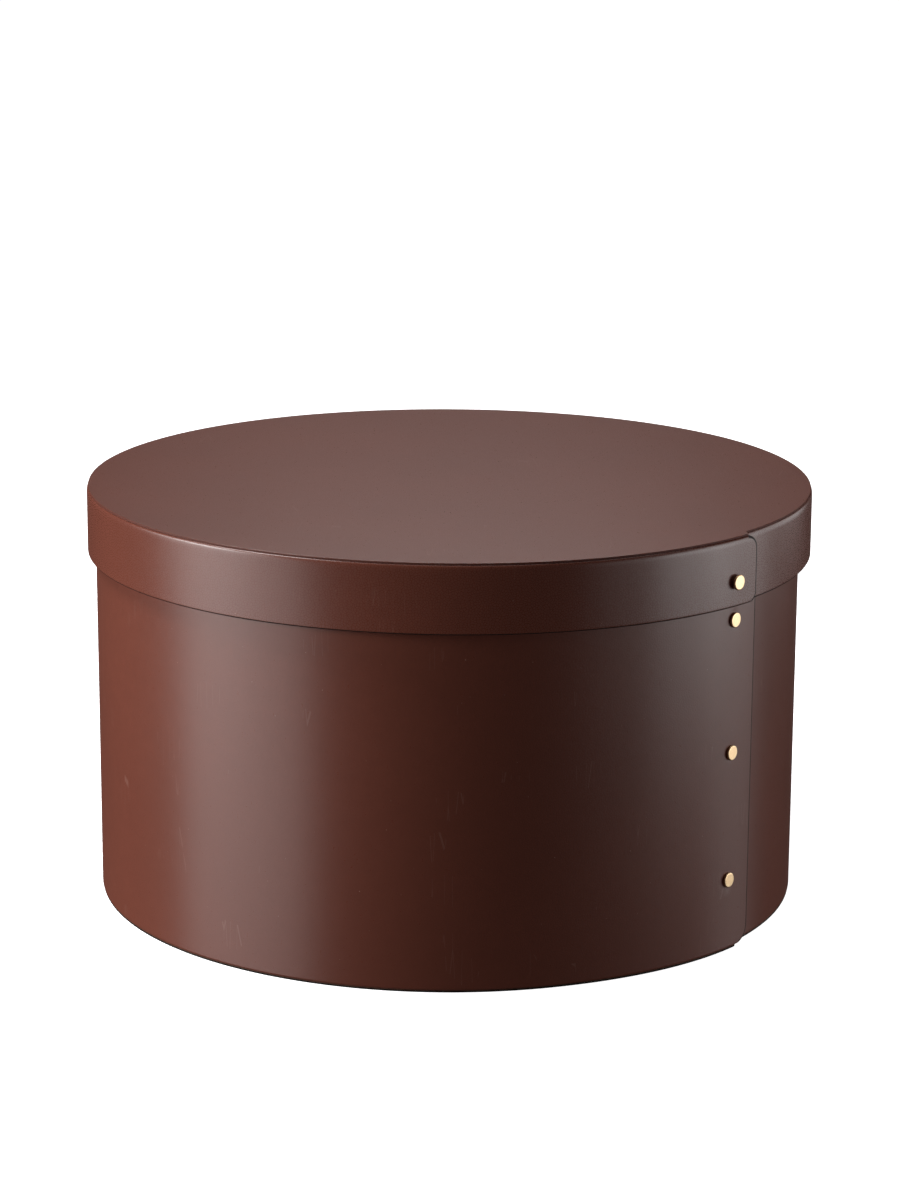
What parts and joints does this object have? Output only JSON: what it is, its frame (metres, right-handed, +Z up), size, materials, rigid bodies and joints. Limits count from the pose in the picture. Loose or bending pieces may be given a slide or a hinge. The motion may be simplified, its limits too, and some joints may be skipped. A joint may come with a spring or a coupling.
{
  "type": "round leather storage box",
  "caption": "Round lidded storage box of overlapped, riveted leather strips, with a loose lift-off lid.",
  "frame": {"origin": "on the body's axis, in the plane that the box stands on", "axes": "+Z up through the lid; -Y is the front; the riveted laps end to the right of the front"},
  "size_m": [0.2999, 0.3007, 0.1718],
  "materials": {
    "leather": "smooth dark reddish-brown leather with a satin gloss and a very fine grain",
    "brass": "polished",
    "board": "raw grey-brown board",
    "lining": "matt brown brushed lining"
  },
  "bodies": {
    "box": {"body_wall": "leather", "base_board": "board", "base_leather": "leather", "base_lining": "lining", "body_rivet_upper": "brass", "body_rivet_middle": "brass", "body_rivet_lower": "brass", "body_burr_upper": "brass", "body_burr_middle": "brass", "body_burr_lower": "brass"},
    "lid": {"lid_band": "leather", "lid_board": "board", "lid_leather": "leather", "lid_lining": "lining", "lid_rivet": "brass", "lid_burr": "brass"}
  },
  "joints": [
    {"name": "lid_lift", "type": "slide", "parent": "box", "child": "lid", "axis": [0, 0, 1], "range_m": [0, 0.2]}
  ]
}
